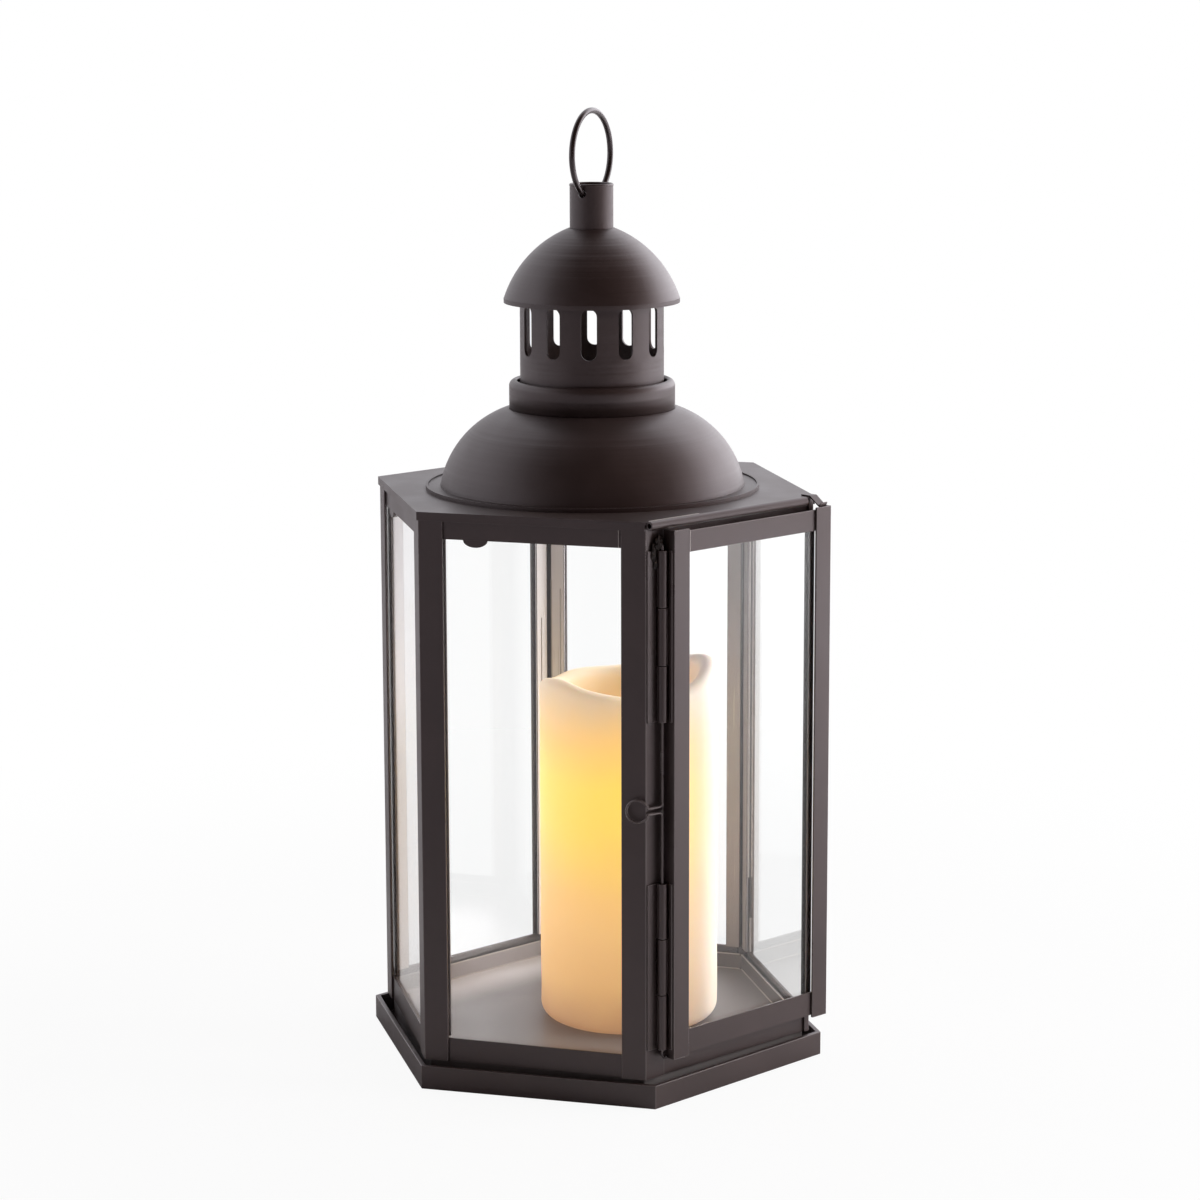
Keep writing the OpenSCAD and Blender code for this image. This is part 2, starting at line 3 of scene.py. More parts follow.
import bmesh
import bpy
from mathutils import Matrix, Vector, noise


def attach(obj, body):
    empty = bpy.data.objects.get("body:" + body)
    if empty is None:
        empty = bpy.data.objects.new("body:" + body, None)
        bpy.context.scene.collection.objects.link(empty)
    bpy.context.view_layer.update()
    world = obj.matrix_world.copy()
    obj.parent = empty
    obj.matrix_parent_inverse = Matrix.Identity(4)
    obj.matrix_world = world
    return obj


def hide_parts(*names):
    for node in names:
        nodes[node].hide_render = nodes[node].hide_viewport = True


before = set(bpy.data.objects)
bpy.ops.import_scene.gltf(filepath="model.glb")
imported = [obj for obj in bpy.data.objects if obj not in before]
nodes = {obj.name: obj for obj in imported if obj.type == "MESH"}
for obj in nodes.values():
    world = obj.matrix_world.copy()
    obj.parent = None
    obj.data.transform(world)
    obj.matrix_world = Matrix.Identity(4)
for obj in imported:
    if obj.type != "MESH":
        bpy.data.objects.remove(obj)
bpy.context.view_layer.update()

print("loaded", len(nodes), "solids")

mm = 0.001
faceWidth = 96    # mm, and the distance from the axis to the corners
apothem = faceWidth * math.cos(math.radians(30)) * mm


class Flow:
    # one output of a material; maths on it adds nodes to that material
    def __init__(self, paint, socket):
        self.paint = paint
        self.socket = socket

    def maths(self, operation, first, second):
        flat = all(isinstance(p, (int, float)) or isinstance(p, Flow) and p.socket.type == "VALUE"
                   for p in (first, second))
        return self.paint.add("Math" if flat else "VectorMath", {"operation": operation},
                              {0: first, 1: second})

    def __add__(self, other):
        return self.maths("ADD", self, other)

    def __sub__(self, other):
        return self.maths("SUBTRACT", self, other)

    def __rsub__(self, other):
        return self.maths("SUBTRACT", other, self)

    def __mul__(self, other):
        return self.maths("MULTIPLY", self, other)

    def __truediv__(self, other):
        return self.maths("DIVIDE", self, other)

    __radd__ = __add__

    def rise(self, low, high, bottom=0.0, top=1.0):
        # a smooth step from bottom to top between two values
        return self.paint.add("MapRange", {"interpolation_type": "SMOOTHSTEP"}, {
            "Value": self, "From Min": low, "From Max": high, "To Min": bottom, "To Max": top})

    def size(self):
        return self.paint.add("Math", {"operation": "ABSOLUTE"}, {0: self})


class Paint:
    # a node tree that is built from expressions
    def __init__(self, tree):
        self.tree = tree
        tree.nodes.clear()

    def add(self, kind, settings=None, inputs=None, output=0):
        # settings first, then the values or links of the sockets
        node = self.tree.nodes.new("ShaderNode" + kind)
        for name, value in (settings or {}).items():
            if name == "stops":
                while len(node.color_ramp.elements) < len(value):
                    node.color_ramp.elements.new(0.5)
                for element, (place, colour) in zip(node.color_ramp.elements, value):
                    element.position, element.color = place, (*colour, 1)
            else:
                setattr(node, name, value)
        for name, value in (inputs or {}).items():
            socket = node.inputs[name]
            if isinstance(value, Flow):
                self.tree.links.new(value.socket, socket)
            elif isinstance(value, tuple):
                socket.default_value = (*value, 1) if len(socket.default_value) == 4 else value
            elif socket.type in ("RGBA", "VECTOR"):
                socket.default_value = [value] * len(socket.default_value)
            else:
                socket.default_value = value
        return Flow(self, node.outputs[output]) if node.outputs else None

    def place(self):
        return self.add("TexCoord", output="Object")

    def axis(self, where, name):
        return self.add("SeparateXYZ", {}, {0: where}, output=name)

    def dot(self, where, toward):
        return self.add("VectorMath", {"operation": "DOT_PRODUCT"}, {0: where, 1: toward}, output="Value")

    def length(self, where):
        return self.add("VectorMath", {"operation": "LENGTH"}, {0: where}, output="Value")

    def distance(self, where, point):
        return self.add("VectorMath", {"operation": "DISTANCE"}, {0: where, 1: point}, output="Value")

    def stretched(self, where, factors):
        return self.add("VectorMath", {"operation": "MULTIPLY"}, {0: where, 1: factors})

    def ray(self, name):
        return self.add("LightPath", output=name)

    def grain(self, where, scale, detail=2.0, rough=0.5):
        return self.add("TexNoise", {"noise_dimensions": "3D"},
                        {"Vector": where, "Scale": scale, "Detail": detail, "Roughness": rough})

    def blend(self, mask, first, second):
        return self.add("Mix", {"data_type": "RGBA"}, {0: mask, 6: first, 7: second}, output=2)

    def bump(self, height, strength, distance, under=None):
        inputs = {"Height": height, "Strength": strength, "Distance": distance}
        if under:
            inputs["Normal"] = under
        return self.add("Bump", {}, inputs)

    def finish(self, shader):
        self.add("OutputMaterial", {}, {"Surface": shader})


def newPaint(name):
    material = bpy.data.materials.new(name)
    material.use_nodes = True
    return material, Paint(material.node_tree)


# the dark bronze paint outside, and on the bare, dusted metal inside the cage a lighter colour that is partly
# a painted reflection of glare in the panes
bronze = {
    "deep": (0.0225, 0.0138, 0.0122),
    "worn": (0.0350, 0.0225, 0.0205),
    "fleck": (0.055, 0.042, 0.038),
    # inside the cage: bare, dusted metal, lighter partly as a painted reflection of glare in the panes;
    # nearly white on the back posts
    "inside": (0.240, 0.225, 0.222),
    "backPostDustAndGlare": (0.86, 0.84, 0.85),
    # the lighter coat of the rounded edges, a painted highlight along them
    "edgeHighlightTone": (0.095, 0.080, 0.078),
    # light grey lines on sheet edges: bare metal scratches, and painted highlights along rolled and cut edges
    "edgeLineTone": (0.42, 0.39, 0.37),
    # the pin's coat, lighter than the paint: a painted highlight along the wire
    "pinHighlightTone": (0.09, 0.075, 0.072),
    "scratch": (0.50, 0.46, 0.41),
    "rough": (0.34, 0.42),
    "spunLines": 0.25,
    "peel": 0.08,
}


def faceDepth(paint, where):
    # distance behind the outer faces of the cage, in metres
    reach = None
    for angle in (30, 90, 150):
        a = math.radians(angle)
        along = paint.dot(where, (math.cos(a), math.sin(a), 0.0)).size()
        reach = along if reach is None else reach.maths("MAXIMUM", reach, along)
    return apothem - reach


def toolLines(paint, where, under):
    # the tool lines of the spinning run round the axis
    radius = paint.length(paint.stretched(where, (1.0, 1.0, 0.0)))
    step = paint.axis(where, "Z") - radius * 0.6
    line = paint.add("TexNoise", {"noise_dimensions": "1D"},
                     {"W": step, "Scale": 620, "Detail": 3, "Roughness": 0.65})
    patch = paint.grain(where, 17, 1).rise(0.42, 0.62)
    ridge = paint.add("TexNoise", {"noise_dimensions": "1D"}, {"W": step, "Scale": 210, "Detail": 1})
    ridges = line * 0.5 + ridge.rise(0.35, 0.65) * patch
    return line, paint.bump(ridges, bronze["spunLines"], 0.00025, under)


def dustyInside(paint, where, colour, scratches, dustAndGlareShare):
    # the metal behind the faces is lighter, bare and dusted, with scratches down it; the lighter colour is
    # partly a painted reflection of glare in the panes, and nearly white on the back posts
    depth = faceDepth(paint, where).rise(0.0015, 0.0035)
    scratch = paint.grain(paint.stretched(where, (1.0, 1.0, 0.03)), 900, 2, 0.6).rise(0.60, 0.72)
    # toward the back posts the inside colour turns nearly white: painted glare of the panes on bare metal
    back = paint.axis(where, "Y").rise(0.045, 0.07)
    dustAndGlareColour = paint.blend(back, bronze["inside"], bronze["backPostDustAndGlare"])
    inner = paint.blend(scratch * scratches, dustAndGlareColour, bronze["scratch"])
    return paint.blend(depth * dustAndGlareShare, colour, inner)


def bronzePaint(name, spun=False, scratches=None, tone=1.0, dustAndGlareShare=1.0, sheen=0.0, coat=None):
    material, paint = newPaint(name)
    where = paint.place()
    cloud = paint.grain(where, 26, 3, 0.6)
    fleck = paint.grain(where, 1300, 2, 0.7)
    deep, worn = (coat, coat) if coat else (bronze["deep"], bronze["worn"])
    deep, worn = (tuple(c * tone for c in shade) for shade in (deep, worn))
    colour = paint.blend(cloud.rise(0.35, 0.72), deep, worn)
    colour = paint.blend(fleck.rise(0.60, 0.80) * 0.35, colour, bronze["fleck"])
    low, high = bronze["rough"]
    rough = cloud.rise(0.3, 0.7, low - sheen, high - sheen) + fleck * 0.05
    normal = paint.bump(paint.grain(where, 2300, 1, 0.5), bronze["peel"], 0.0002)
    if spun:
        line, normal = toolLines(paint, where, normal)
        rough = rough + line * 0.06
    else:
        normal = paint.bump(paint.grain(where, 34, 1), 0.35, 0.0006, normal)
    if scratches is not None:
        colour = dustyInside(paint, where, colour, scratches, dustAndGlareShare)
    shader = paint.add("BsdfPrincipled", {}, {
        "Base Color": colour, "Roughness": rough, "Normal": normal,
        "Specular IOR Level": 1.0, "Specular Tint": (1.0, 0.90, 0.93)})
    paint.finish(shader)
    return material


def paneGlass():
    material, paint = newPaint("paneGlass")
    where = paint.place()
    smear = paint.grain(where, 30, 4, 0.6)
    normal = paint.bump(paint.grain(where, 12, 1), 0.02, 0.001)
    clear = paint.add("BsdfPrincipled", {}, {
        "Base Color": (0.992, 0.995, 0.995), "Roughness": smear.rise(0.45, 0.8, 0.0, 0.035), "Normal": normal,
        "IOR": 1.45, "Transmission Weight": 1.0})
    # lamps and the light of the room pass straight through
    for ray in ("Is Shadow Ray", "Is Diffuse Ray"):
        gap = paint.add("BsdfTransparent", {}, {"Color": (0.985, 0.985, 0.985)})
        clear = paint.add("MixShader", {}, {0: paint.ray(ray), 1: clear, 2: gap})
    paint.finish(clear)
    return material


candle = {
    "middle": (10.5 * mm, -10.7 * mm),
    "foot": 11.2 * mm,
    "height": 149.6 * mm,
    "radius": 37.7 * mm,
    "wall": 8 * mm,
    "hollow": 56 * mm,
    "unitRadius": 26.1 * mm,
    "unitHeight": 22 * mm,
    "footRound": 6 * mm,
    "bowlRound": 4 * mm,
    # a lump and a dip of the rim (direction, spread in degrees, mm high)
    "rimLumps": ((168, 22, 2.4), (112, 18, -2.2)),
    # waves round the rim (count, mm high, turn in degrees)
    "rimWaves": ((1, 2.9, 34.0), (2, 2.9, 56.0), (3, 1.0, 106.0)),
    "litSide": (0.83, -0.56, 0.0),
    # from the middle of the foot to the brightest patch
    "hotSpot": (-20 * mm, -30 * mm, 92 * mm),
    # the wax's cream colour up the candle, with painted glow in the middle and painted shade at the foot
    "waxShadeAndGlowStops": (
        (0.00, (0.68, 0.50, 0.33)), (0.10, (0.84, 0.62, 0.38)), (0.38, (0.88, 0.66, 0.38)),
        (0.55, (0.92, 0.76, 0.41)), (0.70, (0.92, 0.78, 0.41)), (0.84, (0.88, 0.68, 0.42)),
        (0.93, (0.84, 0.73, 0.54)), (1.00, (0.88, 0.80, 0.68))),
    "glowStops": (
        (0.00, (0.28, 0.12, 0.04)), (0.15, (0.58, 0.30, 0.08)), (0.40, (0.74, 0.40, 0.11)),
        (0.60, (0.82, 0.54, 0.08)), (0.72, (0.82, 0.56, 0.07)), (0.86, (0.76, 0.42, 0.10)),
        (1.00, (0.42, 0.30, 0.17))),
}


def waxFinish():
    material, paint = newPaint("candleWax")
    where = paint.place()
    cloud = paint.grain(where, 32, 3, 0.6)
    level = (paint.axis(where, "Z") - candle["foot"]) / candle["height"] + (cloud - 0.5) * 0.10
    colour = paint.add("ValToRGB", {"stops": candle["waxShadeAndGlowStops"]}, {0: level})
    x, y = candle["middle"]
    hot = tuple(a + b for a, b in zip(candle["hotSpot"], (x, y, candle["foot"])))
    # a painted patch of glow in the wax's colour, where the light unit shines through brightest
    glowPatch = paint.distance(where, hot).rise(0.012, 0.062, 1.0, 0.0)
    colour = paint.blend(glowPatch * 0.85, colour, (0.93, 0.66, 0.10))
    # the wax's emission is painted glow of the light unit inside, dimmer on the wall of the hollow
    glow = paint.add("ValToRGB", {"stops": candle["glowStops"]}, {0: level})
    inwards = paint.distance(paint.stretched(where, (1.0, 1.0, 0.0)), (x, y, 0.0))
    bowl = inwards.rise(candle["radius"] - 8 * mm, candle["radius"] - 4 * mm, 1.0, 0.0)
    glow = paint.blend(bowl, glow, (0.24, 0.17, 0.08))
    # the side toward the key lamp gets less painted glow, and a paler painted colour for the light falling on
    # it
    lit = paint.dot(where, candle["litSide"]).rise(0.020, 0.050)
    glow = paint.blend(lit, glow, glow * (0.10, 0.08, 0.20))
    colour = paint.blend(lit * 0.7, colour, (0.86, 0.78, 0.68))
    pit = paint.grain(where, 260, 3, 0.6)
    normal = paint.bump(pit, 0.05, 0.0003)
    normal = paint.bump(cloud, 0.15, 0.002, normal)
    shader = paint.add("BsdfPrincipled", {}, {
        "Base Color": colour, "Roughness": pit.rise(0.3, 0.7, 0.42, 0.60), "Normal": normal,
        "Emission Color": glow, "Emission Strength": 1.0,
        "Subsurface Weight": 0.35, "Subsurface Radius": (1.0, 0.6, 0.3), "Subsurface Scale": 0.006,
        "Specular IOR Level": 0.4})
    paint.finish(shader)
    return material


def mouldedPlastic(name, tone, glow=0.0):
    material, paint = newPaint(name)
    where = paint.place()
    spark = paint.grain(where, 1800, 2)
    cloud = paint.grain(where, 60, 2)
    colour = paint.blend(cloud.rise(0.3, 0.7) * 0.5, tone, tuple(c * 0.86 for c in tone))
    inputs = {"Base Color": colour, "Roughness": spark.rise(0.3, 0.7, 0.38, 0.52),
              "Normal": paint.bump(spark, 0.15, 0.0001)}
    if glow:
        inputs.update({"Emission Color": paint.blend(cloud, (1.0, 0.62, 0.18), (1.0, 0.72, 0.30)),
                       "Emission Strength": glow})
    paint.finish(paint.add("BsdfPrincipled", {}, inputs))
    return material


def solderFinish():
    material, paint = newPaint("paintedSolder")
    where = paint.place()
    lump = paint.grain(where, 900, 3, 0.7)
    bare = paint.grain(where, 420, 2).rise(0.62, 0.70)
    colour = paint.blend(bare, (0.022, 0.015, 0.013), (0.24, 0.19, 0.15))
    normal = paint.bump(lump, 0.8, 0.0006)
    shader = paint.add("BsdfPrincipled", {}, {
        "Base Color": colour, "Roughness": lump.rise(0.3, 0.7, 0.22, 0.55), "Metallic": bare * 0.7,
        "Normal": normal})
    paint.finish(shader)
    return material


# tone makes a paint lighter or darker; the share of the inside colour and the scratches are for the metal
# inside the cage, whose lighter colour is partly a painted reflection of glare in the panes
finishes = {
    "sheet": bronzePaint("bronzeSheet", scratches=0.5),
    "pan": bronzePaint("bronzePan", scratches=0.0, dustAndGlareShare=0.75),
    "rail": bronzePaint("bronzeRail", scratches=0.3, dustAndGlareShare=0.28),
    "base": bronzePaint("bronzeBase"),
    "spun": bronzePaint("bronzeSpun", spun=True),
    "wire": bronzePaint("bronzeWire", tone=0.35, sheen=0.16),
    "pin": bronzePaint("bronzePin", coat=bronze["pinHighlightTone"], sheen=0.16),
    "edge": bronzePaint("bronzeEdgeHighlight", coat=bronze["edgeHighlightTone"], sheen=0.10),
    "bare": bronzePaint("lightEdgeLines", coat=bronze["edgeLineTone"], sheen=0.05),
    "glass": paneGlass(),
    "wax": waxFinish(),
    "unit": mouldedPlastic("unitPlastic", (0.80, 0.77, 0.70)),
    "switch": mouldedPlastic("switchPlastic", (0.05, 0.05, 0.055)),
    "lamp": mouldedPlastic("lampGlow", (0.95, 0.80, 0.50), glow=1.5),
    "solder": solderFinish(),
}
print("finishes:", ", ".join(finishes))

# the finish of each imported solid; the others are glass or sheet
finishOf = {
    "pan": ("floor_pan",),
    "rail": ("sill_ring",),
    "pin": ("hinge_pin",),
    "spun": ("hood", "collar", "chimney", "cap", "neck"),
    "base": ("base_tray", "top_plate", "door_catch"),
    "wire": ("ring",),
    "unit": ("candle_unit", "candle_lid"),
    "switch": ("candle_switch",),
    "lamp": ("candle_bulb",),
    "wax": ("candle_wax",),
}
kindOf = {node: kind for kind, group in finishOf.items() for node in group}
noBevel = ("ring", "hinge_pin", "candle_wax", "candle_bulb")


def easeEdges(piece, width, edge):
    # rounded edges with a lighter coat, a painted highlight along them; edge is the number of their material,
    # or -1 for the piece's own
    weld = piece.modifiers.new("weld", "WELD")
    weld.merge_threshold = 0.000002
    ease = piece.modifiers.new("ease", "BEVEL")
    ease.width = width
    ease.segments = 2
    ease.limit_method = "ANGLE"
    ease.material = edge
    ease.angle_limit = math.radians(38)
    even = piece.modifiers.new("even", "WEIGHTED_NORMAL")
    even.weight = 80


for name, piece in nodes.items():
    kind = kindOf.get(name) or ("glass" if "pane" in name and "tab" not in name else "sheet")
    piece.data.materials.clear()
    piece.data.materials.append(finishes[kind])
    if kind not in ("glass", "spun") and name not in noBevel:
        painted = kind in ("sheet", "rail", "base")
        # painted sheets get the lighter coat on their rounded edges, a painted highlight
        if painted:
            piece.data.materials.append(finishes["edge"])
        easeEdges(piece, 0.0003, 1 if painted else -1)
print("solids finished")


def shapeFrom(name, build, material, body, smooth=True):
    # a new piece that rides on a body
    shape = bmesh.new()
    build(shape)
    bmesh.ops.recalc_face_normals(shape, faces=shape.faces)
    mesh = bpy.data.meshes.new(name)
    shape.to_mesh(mesh)
    shape.free()
    for face in mesh.polygons:
        face.use_smooth = smooth
    mesh.materials.append(material)
    piece = bpy.data.objects.new(name, mesh)
    bpy.context.scene.collection.objects.link(piece)
    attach(piece, body)
    return piece


def rimHeight(angle):
    melt = sum(size * math.cos(n * angle + math.radians(turn)) for n, size, turn in candle["rimWaves"])
    for at, spread, high in candle["rimLumps"]:
        melt += high * math.exp(-((math.degrees(angle) - at) / spread) ** 2)
    return candle["height"] + melt * mm


def waxProfile(angle):
    # half section from the hole for the light unit, up the side, over the rim and down the hollow
    r, wall, rim = candle["radius"], candle["wall"], rimHeight(angle)
    foot, bowl = candle["footRound"], candle["bowlRound"]
    bottom, crest = candle["height"] - candle["hollow"], rim - wall / 2
    yield candle["unitRadius"], candle["unitHeight"]
    yield candle["unitRadius"], 0.4 * mm
    yield candle["unitRadius"] + 0.4 * mm, 0.0
    for step in range(9):
        b = math.radians(90 * step / 8)
        yield r - foot * (1 - math.sin(b)), foot * (1 - math.cos(b))
    for step in range(1, 26):
        yield r, foot + (crest - foot) * step / 26
    for step in range(11):
        b = math.radians(180 * step / 10)
        yield r - wall / 2 + wall / 2 * math.cos(b), crest + wall / 2 * math.sin(b)
    for step in range(1, 15):
        t = step / 15
        yield (r - wall) * (1 - 0.22 * t ** 1.6), crest - (crest - bottom - bowl) * t
    for step in range(6):
        b = math.radians(90 * step / 5)
        yield (r - wall) * 0.76 - 2 * bowl * (1 - math.cos(b)), bottom + bowl * (1 - math.sin(b))


def waxPoint(angle, radius, height):
    # slow dents above the foot, and a softer melt inside the rim
    point = Vector((radius * math.cos(angle), radius * math.sin(angle), height))
    if height > candle["footRound"] + 1 * mm:
        soft = noise.noise(point * 34) * 0.22 * mm + noise.noise(point * 90) * 0.08 * mm
        if radius < candle["radius"] - candle["wall"] + 0.1 * mm:
            soft *= 3
        point -= soft * Vector((math.cos(angle), math.sin(angle), 0))
    return point + Vector((*candle["middle"], candle["foot"]))


def buildWax(shape):
    turns = 144
    rings = []
    for j in range(turns):
        angle = 2 * math.pi * j / turns
        rings.append([shape.verts.new(waxPoint(angle, r, z)) for r, z in waxProfile(angle)])
    for j in range(turns):
        here, there = rings[j], rings[(j + 1) % turns]
        for i in range(len(here) - 1):
            shape.faces.new((here[i], there[i], there[i + 1], here[i + 1]))
    shape.faces.new([column[0] for column in reversed(rings)])
    shape.faces.new([column[-1] for column in rings])


pillar = shapeFrom("wax_pillar", buildWax, finishes["wax"], "candle")
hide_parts("candle_wax")
print("candle made")


def drawOut(outline, place, depth):
    # an outline (a, b) drawn out along c; place turns (a, b, c) into a point
    def build(shape):
        near = [shape.verts.new(place(a, b, 0.0)) for a, b in outline]
        far = [shape.verts.new(place(a, b, depth)) for a, b in outline]
        shape.faces.new(near)
        shape.faces.new(list(reversed(far)))
        for i in range(len(outline)):
            j = (i + 1) % len(outline)
            shape.faces.new((near[i], near[j], far[j], far[i]))
    return build


def spin(profile, lift, steps=128):
    # a closed section (radius, height) turned round the axis
    def build(shape):
        rings = []
        for step in range(steps):
            turn = 2 * math.pi * step / steps
            rings.append([shape.verts.new((r * math.cos(turn), r * math.sin(turn), z + lift))
                          for r, z in profile])
        for step in range(steps):
            here, there = rings[step], rings[(step + 1) % steps]
            for i in range(len(profile)):
                j = (i + 1) % len(profile)
                shape.faces.new((here[i], there[i], there[j], here[j]))
    return build


roof = {
    "foot": 275.8 * mm,
    "collarRadius": 34.9 * mm,
    "collarHeight": 12 * mm,
    "shoulder": 2.6 * mm,
    "ledge": 31.3 * mm,
    "sheet": 1 * mm,
    "chimneyRadius": 30.2 * mm,
    "slots": 12,
    "slotWidth": 6.6 * mm,
    "slotLow": 23 * mm,
    "slotHigh": 44.2 * mm,
}


def arc(x, y, bend, angles):
    # points of a round stretch about its centre
    return [(x + bend * math.cos(math.radians(b)), y + bend * math.sin(math.radians(b))) for b in angles]


def collarProfile():
    # up the outside, round the shoulder, in to the ledge and back under it
    r, h, bend, sheet = (roof[k] for k in ("collarRadius", "collarHeight", "shoulder", "sheet"))
    ledge, thin = roof["ledge"], bend - sheet
    outer = arc(r - bend, h - bend, bend, range(0, 91, 10))
    inner = arc(r - bend, h - bend, thin, range(90, -1, -10))
    nose = [(ledge + back * sheet, h - down * sheet) for back, down in ((0.5, 0.4), (0, 1), (0.5, 1.4))]
    return [(r, 0.0)] + outer + nose + inner + [(r - sheet, 0.0)]


shoulder = shapeFrom("collar_shoulder", spin(collarProfile(), roof["foot"]), finishes["spun"],
                     "lantern")
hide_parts("collar")

# points of the frame's upper and lower edge, as shares of its half width
frameSteps = (1, 0.8, 0.6, 0.45, 0.3, 0, -0.3, -0.45, -0.6, -0.8, -1)


def slotOutline():
    # round-ended slot, as distance along the tube and height
    low, high, w = roof["slotLow"], roof["slotHigh"], roof["slotWidth"] / 2
    return arc(0, high - w, w, range(0, 181, 15)) + arc(0, low + w, w, range(180, 361, 15))


def frameOutline(half, bottom, head):
    # the edge of the frame round a slot, with a point for each point of the slot
    low, high, w = roof["slotLow"], roof["slotHigh"], roof["slotWidth"] / 2
    upper = [(half, high - w)] + [(half * t, head) for t in frameSteps] + [(-half, high - w)]
    lower = [(-half, low + w)] + [(-half * t, bottom) for t in frameSteps] + [(half, low + w)]
    return upper + lower


def buildSector(shape, turn, top):
    # one part of the tube: a frame round its slot, and a plain band above and below
    outer, sheet = roof["chimneyRadius"], roof["sheet"]
    half = math.pi * outer / roof["slots"]
    bottom, head = roof["slotLow"] - 2 * mm, roof["slotHigh"] + 1 * mm
    hole, rim = slotOutline(), frameOutline(half, bottom, head)
    columns = [half * t for t in frameSteps]
    known = {}

    def vert(s, z, deep):
        key = (round(s, 7), round(z, 7), deep)
        if key not in known:
            a, r = turn + s / outer, outer - (sheet if deep else 0)
            known[key] = shape.verts.new((r * math.cos(a), r * math.sin(a), roof["foot"] + z))
        return known[key]

    def quad(*corners):
        shape.faces.new([vert(s, z, deep) for (s, z), deep in corners])

    for deep in (False, True):
        for i in range(len(hole)):
            j = (i + 1) % len(hole)
            quad((hole[i], deep), (rim[i], deep), (rim[j], deep), (hole[j], deep))
        for a, b in zip(columns, columns[1:]):
            for low, high in ((0.0, bottom), (head, top)):
                quad(((a, low), deep), ((a, high), deep), ((b, high), deep), ((b, low), deep))
    for i in range(len(hole)):
        j = (i + 1) % len(hole)
        quad((hole[i], False), (hole[j], False), (hole[j], True), (hole[i], True))
    for a, b in zip(columns, columns[1:]):
        for z in (0.0, top):
            quad(((a, z), False), ((b, z), False), ((b, z), True), ((a, z), True))


def buildChimney(shape):
    chimney = nodes["chimney"]
    top = max((chimney.matrix_world @ v.co).z for v in chimney.data.vertices) - roof["foot"]
    for sector in range(roof["slots"]):
        buildSector(shape, math.radians(15 + 360 / roof["slots"] * sector), top)
    bmesh.ops.remove_doubles(shape, verts=shape.verts, dist=0.000001)


def sharpen(piece, angle):
    # shade smooth up to an angle
    mesh = bmesh.new()
    mesh.from_mesh(piece.data)
    for edge in mesh.edges:
        if len(edge.link_faces) == 2 and edge.calc_face_angle() > math.radians(angle):
            edge.smooth = False
    mesh.to_mesh(piece.data)
    mesh.free()


tube = shapeFrom("slotted_tube", buildChimney, finishes["spun"], "lantern")
sharpen(tube, 40)
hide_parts("chimney")
print("collar and chimney made")

# the tabs hang under the head rail, each on the outside of its pane
tab = {
    "radius": 5.1 * mm,
    "drop": 2.9 * mm,
    "thick": 1 * mm,
    "offset": -24 * mm,
    "depth": apothem - 2 * mm,
    "top": 231.2 * mm,
}


def faceAxes(face):
    # the directions out of a face of the cage and along it
    turn = math.radians(face)
    return Vector((math.cos(turn), math.sin(turn), 0)), Vector((-math.sin(turn), math.cos(turn), 0))


halfRound = [(tab["radius"] * math.cos(math.radians(b)), tab["drop"] * math.sin(math.radians(b)))
             for b in range(180, 361, 12)]


def makeTab(k):
    outward, along = faceAxes(60 * k - 90)

    def place(a, b, c):
        return outward * (tab["depth"] + c) + along * (tab["offset"] + a) + Vector((0, 0, tab["top"] + b))

    disc = shapeFrom("half_round_tab_" + str(k), drawOut(halfRound, place, tab["thick"]),
                     finishes["sheet"], "lantern", smooth=False)
    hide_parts("pane_tab_" + str(k))


for k in range(1, 6):
    makeTab(k)

# the tongue lies on the plate, slopes down over the corner of the door and curls up
tongue = {
    "left": 44.9 * mm,
    "width": 4 * mm,
    "thick": 0.6 * mm,
    "under": ((-79.1, 242.2), (-84.0, 242.2), (-88.6, 238.9), (-89.4, 238.85), (-90.1, 239.9)),
}
under = [(y * mm, z * mm) for y, z in tongue["under"]]
upper = [(y, z + tongue["thick"]) for y, z in reversed(under)]


def tonguePoint(a, b, c):
    return tongue["left"] + c, a, b


strip = shapeFrom("catch_tongue", drawOut(under + upper, tonguePoint, tongue["width"]),
                  finishes["base"], "lantern", smooth=False)
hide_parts("door_catch")


def edgeLines(name, lines, body="lantern"):
    # thin square rods (start, end and thickness in mm) of a light grey along the edges of sheets: scratches
    # of bare metal, and painted highlights along rolled and cut edges
    def build(shape):
        for start, end, thick in lines:
            start, end = Vector(start) * mm, Vector(end) * mm
            run = (end - start).normalized()
            aside = Vector((0, 0, 1)) if abs(run.z) < 0.9 else Vector((1, 0, 0))
            across = run.cross(aside).normalized() * thick * mm / 2
            up = run.cross(across).normalized() * thick * mm / 2
            near, far = ([shape.verts.new(place + a * across + b * up)
                          for a, b in ((1, 1), (-1, 1), (-1, -1), (1, -1))] for place in (start, end))
            shape.faces.new(near)
            shape.faces.new(list(reversed(far)))
            for i in range(4):
                j = (i + 1) % 4
                shape.faces.new((near[i], near[j], far[j], far[i]))
    return shapeFrom(name, build, finishes["bare"], body, smooth=False)


def onFace(face, along, depth, height):
    # a point by a face of the cage in mm: along it from its middle, and its distance from the axis
    outward, sideways = faceAxes(face)
    return outward * depth + sideways * along + Vector((0, 0, height))


def upFace(face, along, depth, low, high, thick):
    return onFace(face, along, depth, low), onFace(face, along, depth, high), thick


corner = faceWidth / 2    # mm along a face from its middle
lip = 77.75               # mm from the axis to the inner lips of posts and rails
closedFaces = (-30, 30, 90, 150, 210)

